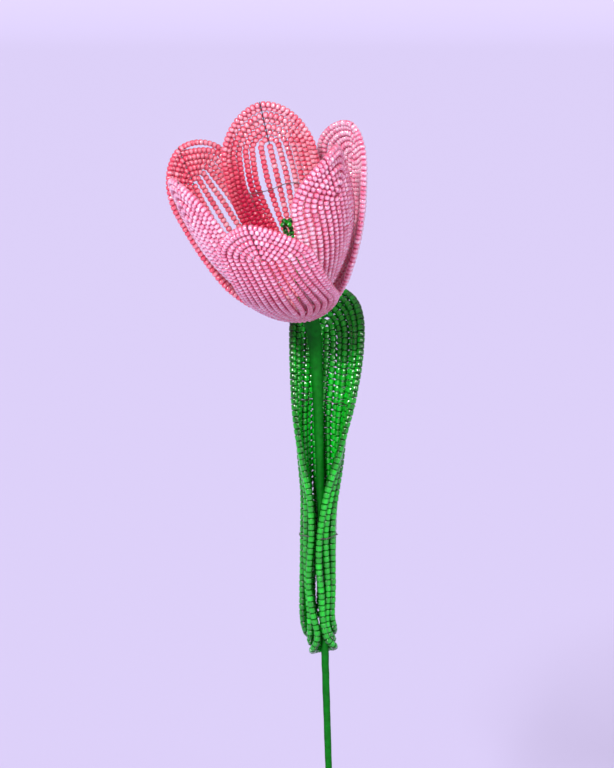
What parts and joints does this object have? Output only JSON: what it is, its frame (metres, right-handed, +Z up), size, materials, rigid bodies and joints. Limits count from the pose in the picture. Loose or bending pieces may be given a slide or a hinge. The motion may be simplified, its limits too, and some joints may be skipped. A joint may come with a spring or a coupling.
{
  "type": "tulip in a vase",
  "caption": "Single tulip made of glass beads strung on wire, with cupped pink petals, one green leaf and a tape-wrapped stem, standing in a plain white ceramic bud vase.",
  "frame": {"origin": "middle of the vase's flat bottom", "axes": "+Z up, -Y the side the flower faces, +X to the right seen from the front"},
  "size_m": [0.0838, 0.0812, 0.3527],
  "materials": {
    "petal_glass": "glossy translucent pink beads",
    "leaf_glass": "glossy green beads with a bright lining",
    "wire": "drawn craft wire",
    "floral_tape": "waxed crepe tape",
    "glaze": "satin white glaze"
  },
  "bodies": {
    "root": {"petal_back": "petal_glass", "petal_back_left": "petal_glass", "petal_front_left": "petal_glass", "petal_front": "petal_glass", "petal_front_right": "petal_glass", "petal_back_right": "petal_glass", "pistil": "leaf_glass", "stem_wires": "wire", "stem_tape": "floral_tape", "leaf": "leaf_glass", "vase": "glaze"}
  },
  "joints": []
}
